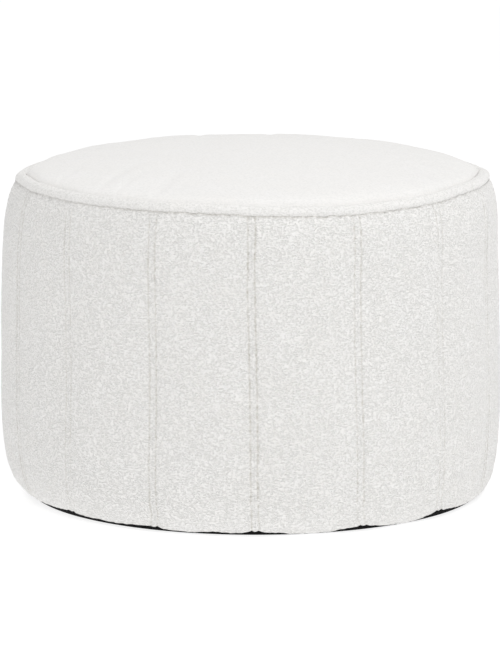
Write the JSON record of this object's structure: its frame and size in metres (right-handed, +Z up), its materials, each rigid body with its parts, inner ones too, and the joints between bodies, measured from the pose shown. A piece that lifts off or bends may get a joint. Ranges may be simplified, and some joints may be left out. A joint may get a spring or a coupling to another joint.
{
  "type": "pouf",
  "caption": "Low round pouf in white curly pile cloth: panelled barrel wall, piped rim, gently crowned top and black base cloth.",
  "frame": {"origin": "on the floor under the middle of the pouf's outline", "axes": "+Z up, the shortest side; the pictured side faces -Y"},
  "size_m": [0.4949, 0.4946, 0.336],
  "materials": {
    "pile_cloth": "matt white cloth with a short curly pile",
    "base_cloth": "plain black woven cloth"
  },
  "bodies": {
    "root": {"filled_body": "pile_cloth", "side_panel_01": "pile_cloth", "side_panel_02": "pile_cloth", "side_panel_03": "pile_cloth", "side_panel_04": "pile_cloth", "side_panel_05": "pile_cloth", "side_panel_06": "pile_cloth", "side_panel_07": "pile_cloth", "side_panel_08": "pile_cloth", "side_panel_09": "pile_cloth", "side_panel_10": "pile_cloth", "side_panel_11": "pile_cloth", "side_panel_12": "pile_cloth", "side_panel_13": "pile_cloth", "side_panel_14": "pile_cloth", "side_panel_15": "pile_cloth", "side_panel_16": "pile_cloth", "piping": "pile_cloth", "base_panel": "base_cloth"}
  },
  "joints": []
}
